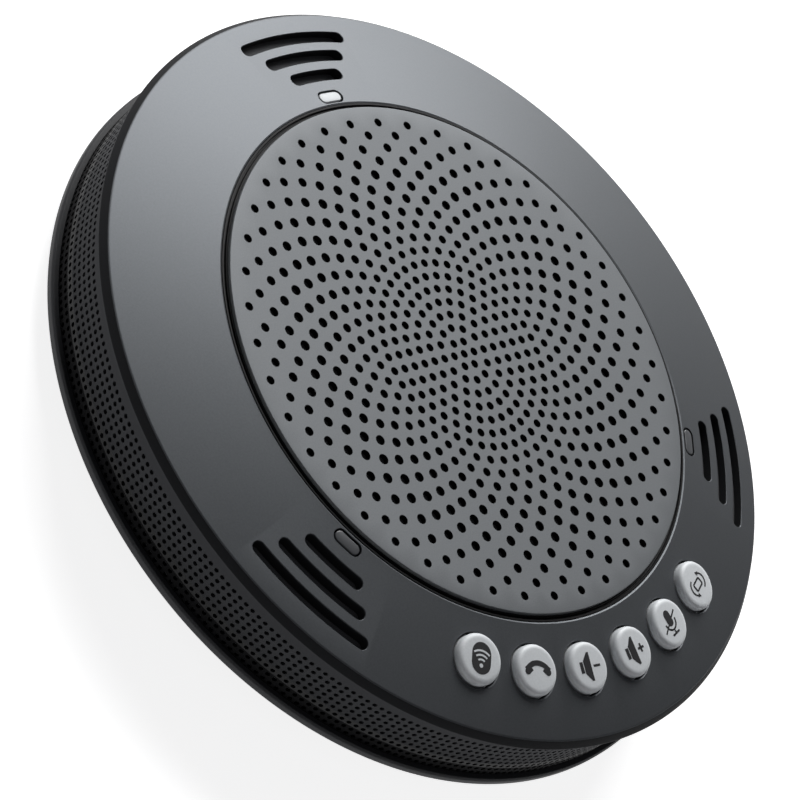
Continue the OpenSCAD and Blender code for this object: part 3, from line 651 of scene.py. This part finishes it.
def grille_ring():
    """The black seat round the disc, with its fine bead in the groove."""
    r_out, r_edge = opening_r - 0.1, disc_r
    bead, groove = (r_out + r_edge) / 2, disc_z - 0.8
    cloth = disc_low - 0.45
    bm = turned([
        (r_out - 4.2, cloth - 2), (r_out, cloth - 2), (r_out, groove, 0.08), (bead + 0.25, groove),
        (bead + 0.2, disc_low - 0.1, 0.12), (bead - 0.2, disc_low - 0.1, 0.12), (bead - 0.25, groove),
        (r_edge, groove), (r_edge, disc_low), (r_edge - 1, disc_low), (r_edge - 1, cloth), (r_out - 4.2, cloth),
    ], 240)
    made(bm, "grille_ring", "case", [finishes["black_plastic"]], "black_plastic", ["grille_seat"])


# ---------------------------------------------------------------- side band
def punched_band():
    """The side band: eight rows of round holes, plain under the rim and round the port, with painted shade on
    its lowest rows.
    """
    columns, plain, rows, shadowed_rows = 300, 16, 8, 2
    first_row, hole_r = 7.88, 0.5
    pitch = math.tau / columns
    half_u, half_row = pitch * band_r / 2, row_pitch / 2
    strip = bmesh.new()
    for row in range(rows):
        z = first_row + row_pitch * row
        lower, upper = max(z - half_row, band_low), z + half_row
        hole = bmesh.ops.create_circle(strip, segments=12, radius=hole_r * MM)["verts"]
        bmesh.ops.rotate(strip, verts=hole, cent=(0, 0, 0), matrix=Matrix.Rotation(math.radians(15), 3, "Z"))
        loop = list({e for v in hole for e in v.link_edges})
        outer = new_verts(bmesh.ops.extrude_edge_only(strip, edges=loop)["geom"])
        for vert in outer:
            reach = max(abs(vert.co.x), abs(vert.co.y))
            vert.co.x *= half_u * MM / reach
            vert.co.y *= ((upper - z) if vert.co.y > 0 else (z - lower)) * MM / reach
        for vert in hole + outer:
            vert.co = Vector((vert.co.x, 0, z * MM + vert.co.y))
    bmesh.ops.remove_doubles(strip, verts=strip.verts[:], dist=1e-7)
    # The lowest rows get the painted shade materials, near black and then lighter, as the shade above the lip.
    for face in strip.faces:
        row = (face.calc_center_median().z / MM - band_low) / row_pitch
        face.material_index = 1 if row < shadowed_rows else 2 if row < shadowed_rows + 1 else 0
    crest = flat_edges(strip, max(v.co.z for v in strip.verts))
    for vert in new_verts(bmesh.ops.extrude_edge_only(strip, edges=crest)["geom"]):
        vert.co.z = band_high * MM
    for vert in strip.verts:
        a = vert.co.x / (band_r * MM)
        vert.co = Vector((math.cos(a) * band_r * MM, math.sin(a) * band_r * MM, vert.co.z))
    gap = plain * pitch
    swing(strip, math.pi / 2 + gap / 2 + pitch / 2)
    bmesh.ops.spin(
        strip, geom=strip.verts[:] + strip.edges[:] + strip.faces[:], cent=(0, 0, 0), axis=(0, 0, 1),
        angle=pitch * (columns - plain - 1), steps=columns - plain - 1, use_duplicate=True,
    )
    clean(strip)
    bmesh.ops.solidify(strip, geom=strip.faces[:], thickness=band_wall * MM)
    paints = [finishes["band_paint"], band_painted_shadow, band_painted_half_shadow]
    made(strip, "punched_band", "case", paints, "band_paint", ["side_mesh"], 40)
    half, inner = math.degrees(gap) / 2, band_r - band_wall
    profile = [(inner, band_low), (band_r, band_low), (band_r, band_high), (inner, band_high)]
    plate = turned(profile, 32, 2 * half, 90 - half)
    patch = made(plate, "port_plate", "case", [finishes["band_paint"]], "band_paint", ["side_mesh"])
    window = bmesh.new()
    block(window, (0, 78, (port_low + port_high) / 2), (port_w + 0.2, 12, port_high - port_low + 0.2))
    carve(patch, window)


# ---------------------------------------------------------------- base and foot
def screw_posts(radius, bottom, top):
    """Round posts on the six case screws."""
    bm = bmesh.new()
    for angle in screw_angles:
        turn = Matrix.Rotation(math.radians(angle), 4, "Z")
        bmesh.ops.create_cone(
            bm, cap_ends=True, segments=48, radius1=radius * MM, radius2=radius * MM, depth=(top - bottom) * MM,
            matrix=turn @ Matrix.Translation(metres(screw_r, 0, (bottom + top) / 2)),
        )
    return bm


def base():
    """The base tray: lip, wall, groove for the foot, and posts with recesses for the case screws."""
    frame_z = band_low
    bm = turned([
        (0, base_z), (foot_r - 8.7, base_z, 0.2), (foot_r - 8.7, foot_high), (foot_r + 0.2, foot_high),
        (foot_r + 0.2, base_z, 0.2), (foot_r + 1.4, base_z, 0.5), (lip_r - 0.5, frame_z - 2.3, 0.2),
        (lip_r, frame_z - 1.8, 0.2), (lip_r, frame_z - 0.5, 0.15), (lip_r - 0.4, frame_z, 0.1),
        (frame_in - 0.2, frame_z), (frame_in - 0.2, frame_z + 2), (frame_in - 1.8, frame_z + 2),
        (frame_in - 1.8, base_z + 2), (0, base_z + 2),
    ])
    tray = made(bm, "base_tray", "case", [finishes["base_plastic"]], "base_plastic", ["base_shell"])
    carve(tray, screw_posts(screw_post_r, base_z + 1, frame_z + 2.1), operation="UNION")
    carve(tray, screw_posts(screw_head_r, base_z - 1, 5))
    carve(tray, screw_posts(screw_hole_r, 4, frame_z + 4))


def foot():
    """The rubber foot ring with its shallow tread groove."""
    bm = turned([
        (foot_r - 8.5, foot_high), (foot_r - 8.5, 0.6, 0.2), (foot_r - 7.9, 0, 0.3), (foot_r - 5.2, 0, 0.1),
        (foot_r - 5.0, 0.25, 0.1), (foot_r - 3.5, 0.25, 0.1), (foot_r - 3.3, 0, 0.1),
        (foot_r - 0.6, 0, 0.3), (foot_r, 0.6, 0.2), (foot_r, foot_high),
    ], 240)
    made(bm, "rubber_foot", "case", [finishes["foot_rubber"]], "foot_rubber", ["foot_ring"])


# ---------------------------------------------------------------- keys and their print
def key_cap(index):
    """A key: domed cap, flange under the cover and the stem that meets the switch."""
    name = key_names[index]
    r = key_d / 2
    bm = turned([
        (0, -4.05), (2, -4.05), (2, -3.15), (6, -3.15), (6, -2.35), (r, -2.35), (r, key_proud - 0.85),
        (r - 0.08, key_proud - 0.55), (r - 0.28, key_proud - 0.28), (r - 0.58, key_proud - 0.1),
        (r - 0.92, key_proud - 0.02), (r - 1.2, key_proud), (0, key_proud),
    ], 72)
    bmesh.ops.transform(bm, matrix=on_key(key_angles[index]), verts=bm.verts[:])
    made(bm, "cap_" + name, "key_" + name, [finishes["key_plastic"]], "key_plastic", ["button_" + name], 25)


def bar(bm, x, y, length, width, turn=0.0, high=print_h):
    """A flat straight stroke."""
    block(bm, (x, y, high / 2), (length, width, high), turn)


def dot(bm, x, y, r, high=print_h, sides=24, turn=0.0):
    """A flat round, or an arrow head with three sides."""
    place = Matrix.Translation(metres(x, y, high / 2)) @ Matrix.Rotation(math.radians(turn), 4, "Z")
    bmesh.ops.create_cone(
        bm, cap_ends=True, segments=sides, radius1=r * MM, radius2=r * MM, depth=high * MM, matrix=place,
    )


def bow(bm, x, y, r, width, start, angle, high=print_h, steps=20):
    """A flat curved stroke, swept about its centre."""
    inner, outer = r - width / 2, r + width / 2
    part = turned([(inner, 0), (outer, 0), (outer, high), (inner, high)], steps, angle, start)
    absorb(bm, part, Matrix.Translation(metres(x, y, 0)))


def slab(bm, points):
    """A flat plate with a drawn outline."""
    part = bmesh.new()
    face = part.faces.new([part.verts.new(metres(x, y, 0)) for x, y in points])
    lifted = new_verts(bmesh.ops.extrude_face_region(part, geom=[face])["geom"])
    bmesh.ops.translate(part, vec=metres(0, 0, print_h), verts=lifted)
    part.normal_update()
    absorb(bm, clean(part))


# Each icon fills a dark shape and, for marks in the key's own colour, a light one. Strokes that cross
# have slightly different heights, so no two top faces lie in one plane.
def print_wireless(dark, light):
    dot(dark, 0, 0.85, 2.05, 0.04, 40)
    dot(dark, 0, -0.85, 2.05, 0.041, 40)
    bar(dark, 0, 0, 4.1, 1.7, 0, 0.042)
    dot(light, 0, -1.35, 0.38, 0.075)
    for r in (1.1, 1.9, 2.7):
        bow(light, 0, -1.35, r, 0.34, 52, 76, 0.075)


def print_call(dark, light):
    bow(dark, 0, -1.9, 3.0, 0.95, 48, 84, 0.05, 24)
    for side in (-1, 1):
        bar(dark, side * 2.0, 0.0, 1.15, 1.5, side * -38, 0.054)
        dot(dark, side * 2.28, -0.42, 0.62, 0.058)


def print_speaker(dark):
    bar(dark, -1.95, 0, 0.75, 2.0)
    slab(dark, [(-1.35, -1.15), (-0.1, -2.55), (0.35, -2.55), (0.35, 2.55), (-0.1, 2.55), (-1.35, 1.15)])


def print_volume_down(dark, light):
    print_speaker(dark)
    bar(dark, 1.75, 0, 1.6, 0.42)


def print_volume_up(dark, light):
    print_speaker(dark)
    bar(dark, 1.75, 0, 1.6, 0.42)
    bar(dark, 1.75, 0, 1.6, 0.42, 90, 0.054)


def print_mute(dark, light):
    dot(dark, -0.15, 1.65, 0.85)
    dot(dark, -0.15, 0.25, 0.85, 0.052)
    bar(dark, -0.15, 0.95, 1.7, 1.4, 0, 0.054)
    bow(dark, -0.15, 0.3, 1.55, 0.34, 180, 180)
    bar(dark, -0.15, -1.6, 0.34, 0.7, 0, 0.054)
    bar(dark, -0.15, -2.05, 2.2, 0.36, 0, 0.058)
    bar(dark, -0.25, 0.25, 5.6, 0.3, 26, 0.062)


def print_rotate(dark, light):
    for side in (-1, 1):
        bar(dark, 0, side * 0.85, 2.5, 0.4)
        bar(dark, side * 1.45, 0, 0.4, 1.1, 0, 0.054)
        for end in (-1, 1):
            corner = math.degrees(math.atan2(end, side)) - 45
            bow(dark, side * 1.1, end * 0.5, 0.35, 0.4, corner, 90, 0.056, 6)
        bow(dark, side * 1.05, 0, 1.85, 0.38, 100 if side < 0 else -80, 145)
        a = math.radians(245 if side < 0 else 65)
        dot(dark, side * 1.05 + 1.85 * math.cos(a), 1.85 * math.sin(a), 0.62, 0.056, 3, math.degrees(a) + 90)


def key_icons(index):
    """The raised print on one key, in the key's own frame."""
    name = key_names[index]
    dark, light = bmesh.new(), bmesh.new()
    print_shapes[name](dark, light)
    size = print_size[name]
    place = on_key(key_angles[index], key_proud) @ Matrix.Diagonal((size, size, 1, 1))
    for bm, tone, finish in ((dark, "print_", key_print), (light, "mark_", finishes["key_plastic"])):
        if not bm.faces:
            bm.free()
            continue
        bmesh.ops.transform(bm, matrix=place, verts=bm.verts[:])
        made(bm, tone + name, "key_" + name, [finish], "key_plastic")


print_size = {
    "wireless": 1.08, "call": 1.1, "volume_down": 1.1, "volume_up": 1.1, "mute": 1.1, "rotate": 0.92,
}
print_shapes = {
    "wireless": print_wireless, "call": print_call, "volume_down": print_volume_down,
    "volume_up": print_volume_up, "mute": print_mute, "rotate": print_rotate,
}


# ---------------------------------------------------------------- status windows
def window(angle, name, slot_name):
    """A light pipe whose top follows the slope, a little below the cover."""
    levels = ((window_w, -3.0), (window_w, -0.2), (window_w - 0.15, -0.09), (window_w - 0.4, -0.06))
    bm = arc_solid(angle, window_r, window_half, levels)
    made(bm, "window_" + name, "case", [finishes[slot_name]], slot_name, ["light_pipe_" + name], 50)


# ---------------------------------------------------------------- port
def oval(part, w, h, y):
    """The flat oval of the socket, standing across Y, swept from one point."""
    start = part.verts.new(metres(-(w - h) / 2, y, -h / 2))
    tip = start
    for side in (1, -1):
        centre = metres(side * (w - h) / 2, y, 0)
        corner = part.verts.new(centre - Vector((0, 0, side * h / 2 * MM)))
        part.edges.new((tip, corner))
        swept = bmesh.ops.spin(part, geom=[corner], cent=centre, axis=(0, -1, 0), angle=math.pi, steps=14)
        tip = new_verts(swept["geom_last"])[0]
    bmesh.ops.remove_doubles(part, verts=part.verts[:], dist=1e-7)


def oval_solid(levels):
    """A solid through flat ovals at the socket's height. Each is a width, a height and a depth."""
    bm = lofted([lambda part, w=w, h=h, y=y: oval(part, w, h, y) for w, h, y in levels])
    bmesh.ops.translate(bm, vec=metres(0, 0, socket_z), verts=bm.verts[:])
    return bm


def port():
    """The port's surround, and the socket with its tongue and pins."""
    half = math.degrees(math.asin(port_w / 2 / band_r))
    inner = frame_in + 0.1
    profile = [(inner, port_low), (band_r, port_low, 0.25), (band_r, port_high, 0.25), (inner, port_high)]
    bezel = turned(profile, 28, 2 * half, 90 - half)
    black = [finishes["black_plastic"]]
    surround = made(bezel, "port_surround", "case", black, "black_plastic", ["port_bezel"])
    mouth_w, mouth_h = socket_w + 0.3, socket_h + 0.3
    carve(surround, oval_solid((
        (mouth_w, mouth_h, 70), (mouth_w, mouth_h, band_r - 0.45), (10.4, 4.7, band_r + 0.4),
    )))

    front = band_r - 0.6
    shell = oval_solid((
        (8.34, 2.66, front - 7.15), (8.34, 2.66, front - 0.15), (8.5, 2.82, front), (8.78, 3.1, front),
        (socket_w, socket_h, front - 0.1), (socket_w, socket_h, front - 7.35),
    ))
    tongue = bmesh.new()
    block(tongue, (0, front - 3.85, 0), (6.6, 4.6, 0.7))
    bmesh.ops.bevel(
        tongue, geom=tongue.edges[:], offset=0.1 * MM, offset_type="OFFSET", affect="EDGES", segments=2,
        profile=0.5, material=-1,
    )
    bmesh.ops.translate(tongue, vec=metres(0, 0, socket_z), verts=tongue.verts[:])
    made(tongue, "socket_tongue", "case", black, "black_plastic")
    pins = bmesh.new()
    for i in range(12):
        for side in (-1, 1):
            block(pins, ((i - 5.5) * 0.5, front - 3.3, socket_z + side * 0.35), (0.26, 3.2, 0.04))
    made(pins, "socket_pins", "case", [finishes["gold_can"]], "gold_can")
    made(shell, "socket_shell", "case", [finishes["socket_steel"]], "socket_steel", ["usb_c_socket"])


cover()
grille_disc()
grille_ring()
punched_band()
base()
foot()
for index in range(6):
    key_cap(index)
    key_icons(index)
window(90, "back", "light_pipe_lit")
window(210, "left", "light_pipe_off")
window(330, "right", "light_pipe_off")
port()

# ---------------------------------------------------------------- camera, lights, table
focal = 3653.45
frame_side = 800
sensor = 36
distance = 13.768 * 51.48 * MM
across, lift = math.radians(-74.835), math.radians(41.78)
right = Vector((math.cos(across), math.sin(across), 0))
back = Vector((math.sin(across) * math.cos(lift), -math.cos(across) * math.cos(lift), math.sin(lift)))
up = back.cross(right)
roll_cos, roll_sin = 0.5962, 0.8028
aim_right = roll_cos * right + roll_sin * up
aim_up = -roll_sin * right + roll_cos * up
pull = distance / focal
off_right, off_up = 64.22 * pull, 46.12 * pull
spot = Vector((0, 0, disc_z * MM)) + back * distance - aim_right * off_right - aim_up * off_up
lens_data = bpy.data.cameras.new("camera")
lens_data.sensor_width = sensor
lens_data.lens = focal / frame_side * sensor
camera = bpy.data.objects.new("camera", lens_data)
camera.matrix_world = Matrix.Translation(spot) @ Matrix((aim_right, aim_up, back)).transposed().to_4x4()
bpy.context.scene.collection.objects.link(camera)
bpy.context.scene.camera = camera


def softbox(name, azimuth, height, far, size, power):
    """A soft panel that faces the object, at an angle round it (0 along +X) and above the table."""
    data = bpy.data.lights.new(name, "AREA")
    data.shape = "RECTANGLE"
    data.size, data.size_y = size
    data.energy = power
    light = bpy.data.objects.new(name, data)
    a, h = math.radians(azimuth), math.radians(height)
    way = Vector((math.cos(a) * math.cos(h), math.sin(a) * math.cos(h), math.sin(h)))
    light.matrix_world = Matrix.Translation(way * far) @ way.to_track_quat("Z", "Y").to_matrix().to_4x4()
    bpy.context.scene.collection.objects.link(light)


softbox("key_panel", 47, 34, 1.6, (1.2, 1.0), 33)

world = bpy.data.worlds.new("studio")
bpy.context.scene.world = world
sky = Finish("studio", world)
level = sky.axis("Z", sky.node("ShaderNodeTexCoord", out="Generated"))
glow = sky.blend(level.step(0.03, 0.3), (0.25, 0.25, 0.255), (0.092, 0.092, 0.097))
sky.output("ShaderNodeOutputWorld", sky.node("ShaderNodeBackground", None, {"Color": glow, "Strength": 1.0}))

# The table top lies a hair below the foot, so the two faces never share a plane
floor_shape = bmesh.new()
table_z = Matrix.Translation(metres(0, 0, -0.05))
bmesh.ops.create_circle(floor_shape, cap_ends=True, segments=96, radius=4.0, matrix=table_z)
floor_mesh = bpy.data.meshes.new("table")
floor_shape.to_mesh(floor_mesh)
floor_shape.free()
table = bpy.data.objects.new("table", floor_mesh)
bpy.context.scene.collection.objects.link(table)
top = Finish("table_top")
mottle = top.noise(3.0, 2.0)
pale = top.blend(mottle, (0.70, 0.70, 0.70), (0.74, 0.74, 0.74))
floor_mesh.materials.append(
    top.surface(Base_Color=pale, Roughness=0.7, Emission_Color=pale, Emission_Strength=1.15)
)

bpy.context.scene.view_settings.view_transform = "Standard"
